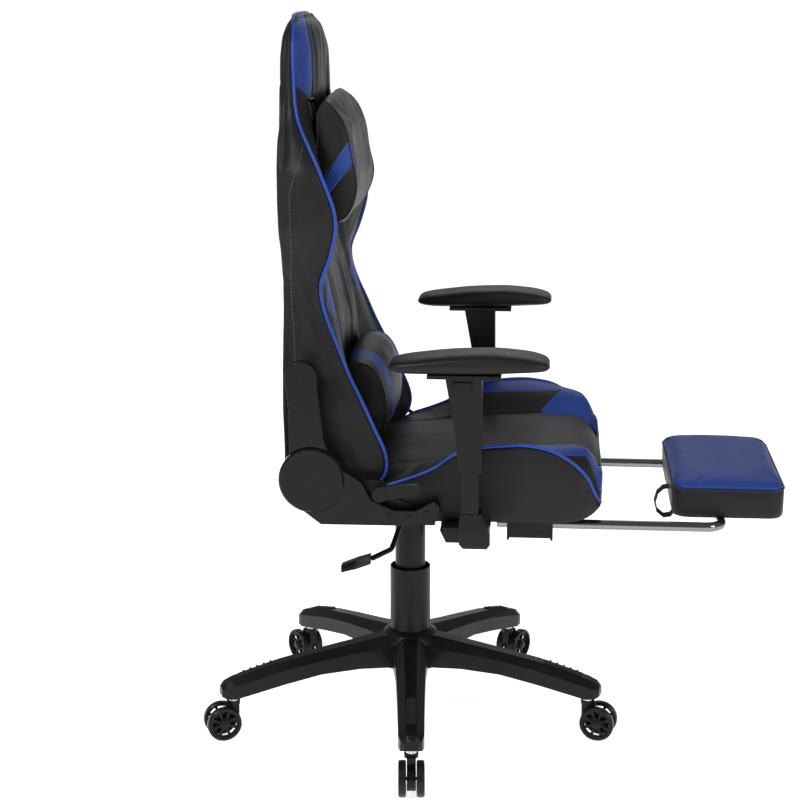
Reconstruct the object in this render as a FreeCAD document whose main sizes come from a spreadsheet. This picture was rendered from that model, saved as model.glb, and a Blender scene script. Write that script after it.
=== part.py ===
"""Swivel chair with a reclining winged back, height-adjustable arms and a slide-out footrest.

Frame: origin on the floor under the gas lift, +X to the sitter's front, +Y to the
sitter's left, +Z up.  All sizes are in millimetres.
"""
import FreeCAD, Part
import math
import os
import re
from FreeCAD import Placement, Rotation, Vector

doc = FreeCAD.newDocument("gaming_chair")

SIZES = {
    # base and casters
    "leg_count": 5, "base_yaw": 4.85, "stem_circle": 325, "stem_radius": 5.5,
    "hub_radius": 52, "hub_top": 165, "wheel_radius": 30, "wheel_width": 13,
    "wheel_gap": 17, "fork_width": 15, "caster_trail": 20, "axle_radius": 3,
    # gas lift
    "tube_radius": 25, "tube_top": 270, "piston_radius": 14, "piston_foot": 156,
    "piston_top": 413, "cover_wall": 2, "lower_cover_radius": 35.5,
    "lower_cover_top": 281, "middle_cover_radius": 26.6, "middle_cover_foot": 228,
    "middle_cover_top": 361,
    # tilt mechanism
    "tilt_x": 60, "tilt_z": 414, "tilt_pin_radius": 6, "housing_width": 96,
    "casting_wall": 5,
    "knob_x": 79, "knob_radius": 25, "bolt_radius": 5,
    # seat
    "seat_underside": 437, "plate_thick": 4, "board_thick": 8, "seat_inner": 150,
    "seat_outer": 256, "bracket_thick": 5,
    # recliner
    "recline_x": -137, "recline_z": 510, "shaft_radius": 6, "disc_radius": 53,
    "cover_inner": 262, "cover_thick": 21, "side_plate_inner": 258,
    "side_plate_thick": 3.5, "back_plate_inner": 246, "back_plate_thick": 5,
    "lever_x": -26, "lever_z": 493,
    # arms
    "arm_y": 302, "post_length": 28.4, "post_depth": 31.4, "post_top": 600,
    "sleeve_depth": 40, "sleeve_foot": 537, "pad_foot": 696, "pad_width": 90,
    "button_z": 679,
    # back
    "frame_radius": 9, "frame_wall": 1.5,
    "slot_y": 120, "slot_z": 1087, "slot_width": 34, "slot_height": 34,
    "trim_wall": 3, "head_pillow_width": 286, "lumbar_pillow_width": 308,
    # footrest
    "rod_radius": 8, "rod_wall": 1.5, "rod_y": 200, "rod_z": 423, "rod_rear": 158,
    "bar_x": 525, "rod_bend": 28, "footrest_width": 340, "footrest_rear": 443,
    "footrest_front": 630, "footrest_top": 485,
    # clearances
    "running_gap": 0.05, "sliding_gap": 0.1,
}

sheet = doc.addObject("Spreadsheet::Sheet", "Dims")
for row, (alias, number) in enumerate(SIZES.items(), start=1):
    sheet.set(f"A{row}", alias)
    sheet.set(f"B{row}", str(number))
    sheet.setAlias(f"B{row}", alias)
doc.recompute()

NODES = {}


# ---------------------------------------------------------------- helpers
def cell(alias):
    """The number that the sheet holds under this alias."""
    return float(getattr(sheet, alias))


def rule(text):
    """Turn 'rod_radius * 2' into an expression on the sheet's cells."""
    return re.sub(r"[a-z][a-z_]+", lambda word: "Dims." + word.group(0)
                  if word.group(0) in SIZES else word.group(0), text)


def bind(obj, name, value):
    """Set a property to a number, or bind it to the sheet when it is text."""
    if isinstance(value, str):
        obj.setExpression(name, rule(value))
        return
    target, _, last = name.rpartition(".")
    if target == "Placement.Base":
        base = obj.Placement.Base
        setattr(base, last, value)
        obj.Placement = Placement(base, obj.Placement.Rotation)
    else:
        setattr(obj, name, value)


def put(obj, x=0, y=0, z=0):
    for axis, value in (("x", x), ("y", y), ("z", z)):
        bind(obj, f"Placement.Base.{axis}", value)
    return obj


def node(obj, name):
    """Register an object as a sub-part; its Label is the node's name."""
    obj.Label = name
    NODES[name] = obj
    return obj


def box(length, width, height, x, y, z):
    obj = doc.addObject("Part::Box", "Block")
    bind(obj, "Length", length)
    bind(obj, "Width", width)
    bind(obj, "Height", height)
    return put(obj, x, y, z)


TURNS = {
    "x": Rotation(Vector(0, 1, 0), 90),
    "y": Rotation(Vector(1, 0, 0), -90),
    "z": Rotation(),
}


def cylinder(radius, height, x, y, z, along="z"):
    """A cylinder that starts at x, y, z and grows along the named axis."""
    obj = doc.addObject("Part::Cylinder", "Round")
    bind(obj, "Radius", radius)
    bind(obj, "Height", height)
    obj.Placement = Placement(Vector(), TURNS[along])
    return put(obj, x, y, z)


def fuse(*shapes):
    obj = doc.addObject("Part::MultiFuse", "Joined")
    obj.Shapes = list(shapes)
    return obj


def cut(base, *tools):
    obj = doc.addObject("Part::Cut", "Cut")
    obj.Base = base
    obj.Tool = tools[0] if len(tools) == 1 else fuse(*tools)
    return obj


def group(*shapes):
    obj = doc.addObject("Part::Compound", "Group")
    obj.Links = list(shapes)
    return obj


def mirrored(source):
    """The same piece on the other side of the chair's centre plane."""
    obj = doc.addObject("Part::Mirroring", "Mirror")
    obj.Source = source
    obj.Normal = (0, 1, 0)
    return obj


def outline(body, plane, points, offset=0):
    """A closed sketch of straight lines on one of the body's origin planes."""
    sketch = body.newObject("Sketcher::SketchObject", "Outline")
    face = [f for f in body.Origin.OriginFeatures if f.Role == plane][0]
    sketch.AttachmentSupport = [(face, "")]
    sketch.MapMode = "FlatFace"
    sketch.AttachmentOffset = Placement(Vector(0, 0, offset), Rotation())
    for start, end in zip(points, points[1:] + points[:1]):
        sketch.addGeometry(Part.LineSegment(Vector(*start, 0), Vector(*end, 0)))
    return sketch


def side_plate(points, thickness, y_low):
    """An outline in the XZ plane, thickened along +Y from y_low."""
    body = doc.addObject("PartDesign::Body", "Plate")
    pad = body.newObject("PartDesign::Pad", "Pad")
    pad.Profile = outline(body, "XZ_Plane", points)
    pad.Reversed = True
    bind(pad, "Length", thickness)
    return put(body, 0, y_low, 0)


def turned(points):
    """A profile of (radius, height) points turned about the Z axis."""
    body = doc.addObject("PartDesign::Body", "Turned")
    turn = body.newObject("PartDesign::Revolution", "Turn")
    turn.Profile = outline(body, "XZ_Plane", points)
    turn.ReferenceAxis = (turn.Profile[0], ["V_Axis"])
    turn.Angle = 360
    return body


def loft(plane, stations):
    """A solid through outlines at (offset, points) stations along a plane's normal."""
    body = doc.addObject("PartDesign::Body", "Loft")
    sketches = [outline(body, plane, points, offset) for offset, points in stations]
    skin = body.newObject("PartDesign::AdditiveLoft", "Skin")
    skin.Profile = sketches[0]
    skin.Sections = sketches[1:]
    skin.Ruled = True
    return body


def bent_path(points, bend):
    """Straight runs joined by tangent arcs of one radius."""
    points = [Vector(*point) for point in points]
    edges = []
    start = points[0]
    for before, corner, after in zip(points, points[1:], points[2:]):
        back = (before - corner).normalize()
        ahead = (after - corner).normalize()
        half = back.getAngle(ahead) / 2
        reach = bend / math.tan(half)
        middle = (back + ahead).normalize()
        centre = corner + middle * (bend / math.sin(half))
        first = corner + back * reach
        last = corner + ahead * reach
        edges.append(Part.LineSegment(start, first).toShape())
        edges.append(Part.Arc(first, centre - middle * bend, last).toShape())
        start = last
    edges.append(Part.LineSegment(start, points[-1]).toShape())
    return Part.Wire(edges)


def bent_rod(points, bend, radius):
    """A round rod or tube core along a bent path."""
    path = bent_path(points, bend)
    start = Vector(*points[0])
    direction = Vector(*points[1]) - start
    ring = Part.Wire(Part.makeCircle(radius, start, direction))
    return path.makePipeShell([ring], True, True)


def shaped(shape):
    obj = doc.addObject("Part::Feature", "Shaped")
    obj.Shape = shape
    obj.Placement = Placement()
    return obj


def around(centre, radius, start, end, steps):
    """Points on an arc in the XZ plane, angles in degrees."""
    angles = [math.radians(start + (end - start) * i / steps) for i in range(steps + 1)]
    return [(centre[0] + radius * math.cos(a), centre[1] + radius * math.sin(a))
            for a in angles]


# ---------------------------------------------------------------- five-star base
LEG_STATIONS = [
    # distance out, underside, crown, half width
    (30, 100, 159, 34), (52, 104, 158, 31), (102, 106, 150, 27), (172, 103, 140, 24.5),
    (236, 92, 130, 23), (325, 74, 108, 21.5), (340, 75, 102, 18), (347, 78, 95, 11),
]
PAD_SLOPE = math.degrees(math.atan2(130 - 108, 325 - 236))
PAD_LENGTH = 70
PAD_WIDTH = 17
RIBS = 5


def leg_section(low, high, half):
    shoulder = low + 0.68 * (high - low)
    crown = 0.42 * half
    return [(-half, low), (half, low), (half, shoulder), (crown, high), (-crown, high),
            (-half, shoulder)]


def leg_placed(obj, index, x="stem_circle", z=0.0):
    """Put a piece made on the X axis out on leg number index."""
    angle = f"(base_yaw - 90 + 360 / leg_count * {index}) * 1 deg"
    obj.setExpression("Placement.Rotation.Angle", rule(f"mod({angle} + 720 deg; 360 deg)"))
    obj.Placement = Placement(Vector(0, 0, z), Rotation(Vector(0, 0, 1), 1))
    bind(obj, "Placement.Base.x", f"({x}) * cos({angle})")
    bind(obj, "Placement.Base.y", f"({x}) * sin({angle})")
    return obj


def make_base():
    hub = [(25, 96), (44, 96), (52, 104), (52, 150), (46, 160), (38, 165), (25, 165)]
    body = turned(hub)
    sketches = [outline(body, "YZ_Plane", leg_section(low, high, half), out)
                for out, low, high, half in LEG_STATIONS]
    leg = body.newObject("PartDesign::AdditiveLoft", "Leg")
    leg.Profile = sketches[0]
    leg.Sections = sketches[1:]
    leg.Ruled = True
    doc.recompute()
    legs = body.newObject("PartDesign::PolarPattern", "Legs")
    legs.Originals = [leg]
    axis = [f for f in body.Origin.OriginFeatures if f.Role == "Z_Axis"][0]
    legs.Axis = (axis, [""])
    legs.Angle = 360
    bind(legs, "Occurrences", "leg_count")
    body.Tip = legs
    body.Placement = Placement(Vector(), Rotation(Vector(0, 0, 1), cell("base_yaw") - 90))
    sockets = [leg_placed(cylinder("stem_radius", 34, 0, 0, 0), k, z=61.0) for k in range(5)]
    node(cut(body, *sockets), "base_star")

    pads = []
    stems = []
    for k in range(int(cell("leg_count"))):
        plate = box(PAD_LENGTH, 2 * PAD_WIDTH * 0.42, 1.6, 0, -PAD_WIDTH * 0.42, 0)
        ribs = [box(3.5, 2 * PAD_WIDTH * 0.5, 3, 8 + 12.5 * i, -PAD_WIDTH * 0.5, 0.2)
                for i in range(RIBS)]
        pad = fuse(plate, *ribs)
        lean = Rotation(Vector(0, 1, 0), PAD_SLOPE)
        pad.Placement = Placement(Vector(246, 0, 130 - 10 * math.tan(math.radians(PAD_SLOPE))), lean)
        turn = Placement(Vector(), Rotation(Vector(0, 0, 1), cell("base_yaw") - 90 + 72 * k))
        pad.Placement = turn.multiply(pad.Placement)
        pads.append(pad)
        shank = cylinder("stem_radius", 53, 0, 0, 41)
        collar = cylinder(9, 6, 0, 0, 67)
        stems.append(leg_placed(fuse(shank, collar), k))
    node(group(*pads), "foot_pads")
    node(group(*stems), "caster_stems")


# ---------------------------------------------------------------- twin-wheel casters
def make_fork():
    disc = cylinder(20, "fork_width", "caster_trail", "-fork_width / 2", "wheel_radius", "y")
    neck = box(25, "fork_width", 27, -9, "-fork_width / 2", 36)
    cap = cylinder(12, 6, 0, 0, 60)
    bore = cylinder("stem_radius + running_gap", 30, 0, 0, 40)
    axle_bore = cylinder("axle_radius + running_gap", 30, "caster_trail", -15,
                         "wheel_radius", "y")
    return cut(fuse(disc, neck, cap), bore, axle_bore)


def make_wheel():
    """One spoked wheel on the Z axis, its inner face at z = 0."""
    r, w = cell("wheel_radius"), cell("wheel_width")
    hub, rim, web = 8, r - 6, 4
    low, high = (w - web) / 2, (w + web) / 2
    body = turned([(3, 0), (hub, 0), (hub, low), (rim, low), (rim, 0), (r - 2, 0), (r, 2),
                   (r, w - 2), (r - 2, w), (rim, w), (rim, high), (hub, high), (hub, w),
                   (3, w)])
    window = body.newObject("PartDesign::Pocket", "Window")
    spread = math.radians(15)
    near, far = hub + 2, rim - 1.5
    window.Profile = outline(body, "XY_Plane", [
        (near * math.cos(spread), -near * math.sin(spread)),
        (far * math.cos(spread), -far * math.sin(spread)),
        (far * math.cos(spread), far * math.sin(spread)),
        (near * math.cos(spread), near * math.sin(spread))])
    window.SideType = "Symmetric"
    window.Length = 40
    doc.recompute()
    windows = body.newObject("PartDesign::PolarPattern", "Windows")
    windows.Originals = [window]
    axis = [f for f in body.Origin.OriginFeatures if f.Role == "Z_Axis"][0]
    windows.Axis = (axis, [""])
    windows.Angle = 360
    windows.Occurrences = 8
    body.Tip = windows
    body.Placement = Placement(Vector(), TURNS["y"])
    return put(body, "caster_trail", "wheel_gap / 2", "wheel_radius")


def make_casters():
    for k in range(int(cell("leg_count"))):
        fork = leg_placed(group(make_fork()), k)
        node(fork, f"caster_{k + 1}_fork")
        wheel = make_wheel()
        length = "wheel_gap + 2 * wheel_width"
        axle = cylinder("axle_radius", length, "caster_trail", f"-({length}) / 2",
                        "wheel_radius", "y")
        pair = leg_placed(group(wheel, mirrored(wheel), axle), k)
        node(pair, f"caster_{k + 1}_wheels")


# ---------------------------------------------------------------- gas lift
def make_lift():
    tube_foot = 92
    tube = cylinder("tube_radius", f"tube_top - {tube_foot}", 0, 0, tube_foot)
    bore = cylinder("piston_radius + running_gap", "tube_top", 0, 0, tube_foot - 8)
    plug = cylinder("tube_radius", 8, 0, 0, tube_foot - 8)
    node(fuse(cut(tube, bore), plug), "lift_outer_tube")

    lower = cylinder("lower_cover_radius", "lower_cover_top - hub_top", 0, 0, "hub_top")
    hollow = cylinder("lower_cover_radius - cover_wall", "lower_cover_top", 0, 0, "hub_top - 1")
    node(cut(lower, hollow), "lift_cover_lower")

    middle = cylinder("middle_cover_radius", "middle_cover_top - middle_cover_foot", 0, 0,
                      "middle_cover_foot")
    core = cylinder("tube_radius + 0.3", "middle_cover_top - middle_cover_foot - 4", 0, 0,
                    "middle_cover_foot")
    neck = cylinder("piston_radius", 20, 0, 0, "middle_cover_top - 10")
    node(cut(middle, core, neck), "lift_cover_middle")
    node(cylinder("piston_radius", "piston_top - piston_foot", 0, 0, "piston_foot"),
         "lift_piston")


# ---------------------------------------------------------------- tilt mechanism
def make_mechanism():
    casting = side_plate([(-70, 380), (-40, 374), (60, 378), (100, 392), (100, 424),
                          (45, 424), (0, 416), (-70, 400)], "housing_width",
                         "-housing_width / 2")
    socket = cylinder("piston_radius + running_gap", 60, 0, 0, "piston_top + 1 - 60")
    pin_bore = cylinder("tilt_pin_radius", 120, "tilt_x", -60, "tilt_z", "y")
    bolt_bore = cylinder("bolt_radius", 25, "knob_x", 0, 370)
    pockets = [box(44, "housing_width - 2 * casting_wall", 60, x,
                   "casting_wall - housing_width / 2", 384) for x in (-64, 22)]
    node(cut(casting, socket, pin_bore, bolt_bore, *pockets), "tilt_housing")
    node(cylinder("tilt_pin_radius", 114, "tilt_x", -57, "tilt_z", "y"), "tilt_pin")
    node(cylinder("bolt_radius", 63, "knob_x", 0, 332), "tension_bolt")

    grip = turned([(5.05, 328), (17, 328), (20, 333), (25, 358), (25, 366), (22, 370),
                   (5.05, 370)])
    node(put(grip, "knob_x"), "tension_knob")

    route = [(-5, -49.5, 395), (-5, -112, 397), (-20, -150, 356), (-50, -178, 348)]
    node(shaped(bent_rod(route, 12, 4.5)), "lift_lever_rod")
    handle = loft("YZ_Plane", [
        (-52, [(-186, 340), (-172, 340), (-168, 348), (-172, 356), (-186, 356), (-190, 348)]),
        (-75, [(-199, 335), (-181, 335), (-177, 343), (-181, 351), (-199, 351), (-203, 343)]),
        (-99, [(-207, 331), (-192, 331), (-189, 337), (-192, 344), (-207, 344), (-210, 337)]),
    ])
    node(handle, "lift_lever_grip")


# ---------------------------------------------------------------- seat
SEAT_TOP = [(-85, 500), (0, 508), (100, 520), (200, 527), (290, 526), (312, 514), (328, 494)]
NOSE = [(290, 438), (312, 448), (328, 466)]
BOLSTER_TOP = [(-50, 470), (-30, 478), (-14, 498), (20, 506), (55, 524), (92, 548),
               (132, 560), (195, 565), (235, 561), (275, 547), (307, 523), (323, 486)]
FRONT_CREST = [(195, 564), (235, 561), (275, 557), (307, 551), (323, 530)]


def between(table, x):
    """Straight-line reading of a table of (x, z) pairs."""
    if x <= table[0][0]:
        return table[0][1]
    for (x0, z0), (x1, z1) in zip(table, table[1:]):
        if x <= x1:
            return z0 + (z1 - z0) * (x - x0) / (x1 - x0)
    return table[-1][1]


def seat_low(x):
    return between([(270, cell("seat_underside"))] + NOSE, x)


def bolster_section(x, top):
    inner, outer = cell("seat_inner"), cell("seat_outer")
    low = seat_low(x)
    dip = min(between(SEAT_TOP, x), top - 2)
    crest = top - 1 if x < FRONT_CREST[0][0] else between(FRONT_CREST, x)
    return [(-outer + 6, low), (-inner, low), (-inner, dip), (-inner - 56, crest),
            (-outer + 10, top), (-outer, top - 10)]


def make_seat():
    inner = cell("seat_inner")
    centre = loft("YZ_Plane", [
        (x, [(-inner, seat_low(x)), (inner, seat_low(x)), (inner, top), (-inner, top)])
        for x, top in SEAT_TOP])
    recess = box(330, 296, "board_thick", -60, -148, "seat_underside")
    node(cut(centre, recess), "seat_cushion")
    node(box(330, 296, "board_thick", -60, -148, "seat_underside"), "seat_board")
    bolster = loft("YZ_Plane", [(x, bolster_section(x, top)) for x, top in BOLSTER_TOP])
    node(bolster, "seat_bolster_right")
    node(mirrored(bolster), "seat_bolster_left")

    plate = box(200, 180, "plate_thick", -90, -90, "seat_underside - plate_thick")
    ears = [box(34, 4, 33, "tilt_x - 17", y, 404) for y in (-55, 51)]
    bore = cylinder("tilt_pin_radius + running_gap", 140, "tilt_x", -70, "tilt_z", "y")
    node(cut(fuse(plate, *ears), bore), "seat_plate")

    bolts = []
    for x in (-50, 92):
        for y in (-74, 74):
            head = cylinder(6.5, 5, x, y, "seat_underside - plate_thick - 5")
            shank = cylinder(4, 10, x, y, "seat_underside - plate_thick")
            bolts.append(fuse(head, shank))
    node(group(*bolts), "seat_bolts")

    strap = box(70, 173, "bracket_thick", 75, -283, "seat_underside - bracket_thick")
    foot = side_plate([(79, 411), (140, 411), (150, 432), (69, 432)], 61, -283)
    hollow = side_plate([(83, 415), (136, 415), (143, 428), (76, 428)], 60, -279)
    bracket = fuse(strap, cut(foot, hollow))
    node(group(bracket, mirrored(bracket)), "arm_brackets")


# ---------------------------------------------------------------- recliner
PIVOT = (cell("recline_x"), cell("recline_z"))


def make_recliner():
    disc = cylinder("disc_radius", "cover_thick + 4", "recline_x",
                    "-cover_inner - cover_thick - 4", "recline_z", "y")
    edge = doc.addObject("Part::Chamfer", "DiscEdge")
    edge.Base = disc
    doc.recompute()
    rim = [i for i, e in enumerate(disc.Shape.Edges, start=1)
           if e.Length > 100 and e.CenterOfMass.y < -cell("cover_inner") - cell("cover_thick")]
    edge.Edges = [(i, 3.0, 3.0) for i in rim]
    shell = side_plate([(-183, 483), (-158, 465), (-138, 449), (-122, 437), (30, 438),
                        (66, 447), (69, 470), (60, 479), (30, 462), (-4, 462),
                        (-41, 478), (-57, 508), (-92, 530), (-137, 540)],
                       "cover_thick", "-cover_inner - cover_thick")
    cover = fuse(edge, shell)
    shaft_hole = cylinder("shaft_radius + 1", "cover_thick - 6", "recline_x", "-cover_inner - 15",
                          "recline_z", "y")
    cover = cut(cover, shaft_hole)
    node(cover, "recliner_cover_right")
    node(mirrored(cover), "recliner_cover_left")

    screws = [cylinder(5, 2, x, "-cover_inner - cover_thick - 2", z, "y")
              for x, z in ((-13, 453), (20, 451), (48, 458))]
    pair = screws + [mirrored(screw) for screw in screws]
    node(group(*pair), "cover_screws")

    blade = side_plate([(-20, 437), (60, 437), (60, 452), (-8, 478), (-10, 494), (-26, 506),
                        (-60, 508)] + around(PIVOT, 36, 30, 250, 14) + [(-100, 470)],
                       "side_plate_thick", "-side_plate_inner - side_plate_thick")
    tab = box(80, 108, "plate_thick", -20, "-side_plate_inner - side_plate_thick",
              "seat_underside - plate_thick")
    shaft_bore = cylinder("shaft_radius + running_gap", 30, "recline_x", -275, "recline_z", "y")
    lever_bore = cylinder(4.05, 30, "lever_x", -275, "lever_z", "y")
    plate = cut(fuse(blade, tab), shaft_bore, lever_bore)
    node(group(plate, mirrored(plate)), "recliner_plates")

    shaft = cylinder("shaft_radius", "2 * (side_plate_inner + 5)", "recline_x",
                     "-side_plate_inner - 5", "recline_z", "y")
    node(shaft, "recliner_shaft")

    boss = cylinder(12, 16, "lever_x", -301, "lever_z", "y")
    pin = cylinder(4, 28, "lever_x", -285.5, "lever_z", "y")
    bar = side_plate([(-31, 504), (-24, 506), (34, 511), (39, 508), (40, 499), (36, 494),
                      (-18, 484), (-30, 482)], 10, -300)
    node(fuse(boss, pin, bar), "recline_lever")


# ---------------------------------------------------------------- backrest
# height, rear x, centre front x, front edge x of the side, inner and outer half width
BACK_STATIONS = [
    (480, -188, -104, -52, 160, 232), (500, -191, -103, -27, 160, 240),
    (527, -192, -103, -20, 160, 244), (600, -193, -103, -47, 160, 244),
    (700, -193, -106, -93, 158, 236), (812, -196, -126, -129, 152, 218),
    (860, -196, -139, -112, 152, 228), (915, -197, -141, -101, 150, 244),
    (986, -198, -141, -122, 150, 240), (1040, -200, -141, -150, 150, 214),
    (1071, -200, -141, -166, 150, 192), (1117, -199, -142, -173, 150, 172),
    (1170, -202, -145, -178, 130, 160), (1200, -199, -150, -179, 112, 150),
    (1222, -193, -162, -180, 92, 124), (1236, -188, -178, -181, 70, 92),
]


def centre_section(rear, front, inner):
    return [(rear, -inner), (front, -inner), (front, inner), (rear, inner)]


def wing_section(rear, front, edge, inner, outer):
    swell = 0.35 * (edge - rear)
    return [(rear, -inner), (rear + 0.1 * (edge - rear), -outer + 14 * swell / (swell + 10)),
            (rear + swell, -outer), (edge - 3, -outer), (edge, -outer + 8), (front, -inner)]


def slot_block(width, height, length, x):
    return box(length, width, height, x, f"-slot_y - ({width}) / 2", f"slot_z - ({height}) / 2")


def make_back():
    centre = loft("XY_Plane", [(z, centre_section(rear, front, inner))
                               for z, rear, front, _, inner, _ in BACK_STATIONS])
    near_slot = slot_block("slot_width", "slot_height", 120, -230)
    node(cut(centre, near_slot, mirrored(near_slot)), "back_cushion")
    wing = loft("XY_Plane", [(z, wing_section(rear, front, edge, inner, outer))
                             for z, rear, front, edge, inner, outer in BACK_STATIONS])
    node(wing, "back_wing_right")
    node(mirrored(wing), "back_wing_left")

    trim = cut(slot_block("slot_width", "slot_height", 58.5, -200.5),
               slot_block("slot_width - 2 * trim_wall", "slot_height - 2 * trim_wall", 80, -210))
    node(group(trim, mirrored(trim)), "strap_slot_trims")

    side_run = [(-165, -225, 500), (-165, -205, 800), (-180, -150, 1070), (-184, -143, 1140),
                (-184, -80, 1190)]
    frame_run = side_run + [(x, -y, z) for x, y, z in reversed(side_run)]
    tube = bent_rod(frame_run, 30, cell("frame_radius"))
    core = bent_rod(frame_run, 30, cell("frame_radius") - cell("frame_wall"))
    node(shaped(tube.cut(core)), "back_frame")

    strip = side_plate([(-172, 540), (-168, 655), (-150, 668), (-130, 655), (-112, 540)]
                       + around(PIVOT, 34, 25, -205, 14),
                       "back_plate_thick", "-back_plate_inner - back_plate_thick")
    bosses = [cylinder(7, 12, x, -262, z, "y") for x, z in ((-150, 645), (-146, 585))]
    shaft_bore = cylinder("shaft_radius", 30, "recline_x", -275, "recline_z", "y")
    plate = cut(fuse(strip, *bosses), shaft_bore)
    node(group(plate, mirrored(plate)), "back_plates")

    shoulder = (-152, 677)
    shell = side_plate([(-178, 677), (-172, 620), (-172, 590)]
                       + around(PIVOT, 54.5, 130, 60, 10)
                       + [(-116, 574), (-126, 655)] + around(shoulder, 26, -15, 180, 12)[:-1],
                       "cover_thick", "-cover_inner - cover_thick")
    node(shell, "back_cover_right")
    node(mirrored(shell), "back_cover_left")

    head = side_plate([(-139.5, 905), (-100, 893), (-85, 905), (-74, 940), (-71, 978),
                       (-75, 1011), (-81, 1045), (-94, 1086), (-123, 1108), (-139.5, 1100)],
                      "head_pillow_width", "-head_pillow_width / 2")
    node(head, "head_pillow")
    lumbar = side_plate([(-101.5, 533), (-60, 526), (-36, 535), (-22, 562), (-19, 606),
                         (-27, 651), (-45, 685), (-67, 694), (-101.5, 684)],
                        "lumbar_pillow_width", "-lumbar_pillow_width / 2")
    node(lumbar, "lumbar_pillow")


# ---------------------------------------------------------------- arms
def make_arms():
    post = box("post_length", "post_depth", "post_top - 430", 104.3, "-arm_y - post_depth / 2", 430)
    cap = loft("XY_Plane", [
        (412, [(108, -316), (146, -316), (146, -283.2), (108, -283.2)]),
        (420, [(102, -320), (151, -320), (151, -283.2), (102, -283.2)]),
        (440, [(101, -321), (150, -321), (150, -283.2), (101, -283.2)]),
        (470, [(103, -319), (137, -319), (137, -284.5), (103, -284.5)])])
    lower = fuse(post, cap)
    node(lower, "arm_post_right")
    node(mirrored(lower), "arm_post_left")

    near, far = -cell("arm_y") - cell("sleeve_depth") / 2, -cell("arm_y") + cell("sleeve_depth") / 2
    skirt = loft("XY_Plane", [
        (z, [(x0, near - grow), (x1, near - grow), (x1, far + grow), (x0, far + grow)])
        for z, x0, x1, grow in ((537, 100, 137, 0), (602, 95, 137, 0), (691, 79, 136, 3))])
    plate = box(115, 64, 6, 51, "-arm_y - 32", "pad_foot - 6")
    hollow = box(29, 32, 110, 104, "-arm_y - 16", "sleeve_foot - 1")
    recess = box(30, 10, 11, 91, "-arm_y - 16 - 10", "button_z - 5.5")
    sleeve = cut(fuse(skirt, plate), hollow, recess)
    node(sleeve, "arm_sleeve_right")
    node(mirrored(sleeve), "arm_sleeve_left")

    button = box(29, 7, 10, 91.5, "-arm_y - 16 - 10", "button_z - 5")
    node(button, "arm_button_right")
    node(mirrored(button), "arm_button_left")

    pad = side_plate([(-10, 705), (0, 697), (20, 696), (215, 696), (234, 700), (242, 709),
                      (238, 718), (210, 727), (151, 732), (100, 730), (40, 723), (0, 717),
                      (-9, 712)], "pad_width", "-arm_y - pad_width / 2")
    node(pad, "arm_pad_right")
    node(mirrored(pad), "arm_pad_left")


# ---------------------------------------------------------------- footrest
LOOP = [(442.8, 468), (432, 466), (422, 456), (418, 440), (422, 424), (434, 414), (446, 416),
        (452, 424), (452, 432.8), (449.5, 432.8), (449.5, 425), (445, 418.8), (434.8, 416.8),
        (424.3, 425.6), (420.6, 440), (424.3, 454.8), (433, 463.4), (442.8, 465.3)]


def make_footrest():
    y, z = cell("rod_y"), cell("rod_z")
    rear, front = cell("rod_rear"), cell("bar_x")
    run = [(rear, -y, z), (front, -y, z), (front, y, z), (rear, y, z)]
    tube = bent_rod(run, cell("rod_bend"), cell("rod_radius"))
    core = bent_rod(run, cell("rod_bend"), cell("rod_radius") - cell("rod_wall"))
    node(shaped(tube.cut(core)), "footrest_frame")

    block = box(75, 32, "seat_underside - 402", 175, "-rod_y - 16", 402)
    flange = box(103, 40, "seat_underside - rod_z - rod_radius - 0.5", 158, "-rod_y - 20",
                 "rod_z + rod_radius + 0.5")
    rims = [box(4, 38, "seat_underside - 399", x, "-rod_y - 19", 399) for x in (175, 246)]
    bore = cylinder("rod_radius + sliding_gap", 130, 150, "-rod_y", "rod_z", "x")
    guide = cut(fuse(block, flange, *rims), bore)
    node(group(guide, mirrored(guide)), "footrest_guides")

    width = cell("footrest_width") / 2
    rear, front, top = cell("footrest_rear"), cell("footrest_front"), cell("footrest_top")
    foot = 433
    pad = loft("XY_Plane", [
        (h, [(rear + g, -width + g), (front - g, -width + g), (front - g, width - g),
             (rear + g, width - g)])
        for h, g in ((foot, 4), (foot + 8, 0), (top - 12, 0), (top, 10))])
    recess = box(170, 316, "board_thick", 452, -158, foot)
    node(cut(pad, recess), "footrest_cushion")
    node(box(170, 316, "board_thick", 452, -158, foot), "footrest_board")

    clamps = []
    for side in (-110, 110):
        ring = cylinder(10, 18, "bar_x", side - 9, "rod_z", "y")
        block = box(24, 18, 6, "bar_x - 12", side - 9, foot - 6)
        hole = cylinder("rod_radius + running_gap", 30, "bar_x", side - 15, "rod_z", "y")
        clamps.append(cut(fuse(ring, block), hole))
    node(group(*clamps), "footrest_hinges")
    node(side_plate(LOOP, 22, -121), "footrest_loop")


make_base()
make_casters()
make_lift()
make_mechanism()
make_seat()
make_recliner()
make_back()
make_arms()
make_footrest()
doc.recompute()

# ---------------------------------------------------------------- checks and export
broken = [obj.Label for obj in doc.Objects if "Invalid" in obj.State or "Error" in obj.State]
if broken:
    raise RuntimeError("failed to compute: " + ", ".join(broken))
for name, obj in NODES.items():
    if obj.Shape.isNull() or not obj.Shape.isValid():
        raise RuntimeError(f"{name} has no valid shape")

os.makedirs("parts", exist_ok=True)
for name, obj in NODES.items():
    obj.Shape.exportStep(f"parts/{name}.step")
    bounds = obj.Shape.BoundBox
    print(f"{name:22s} solids {len(obj.Shape.Solids)} volume {obj.Shape.Volume / 1000:9.1f} cc "
          f"x {bounds.XMin:.0f}..{bounds.XMax:.0f} y {bounds.YMin:.0f}..{bounds.YMax:.0f} "
          f"z {bounds.ZMin:.0f}..{bounds.ZMax:.0f}")
print(len(NODES), "nodes")
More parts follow.
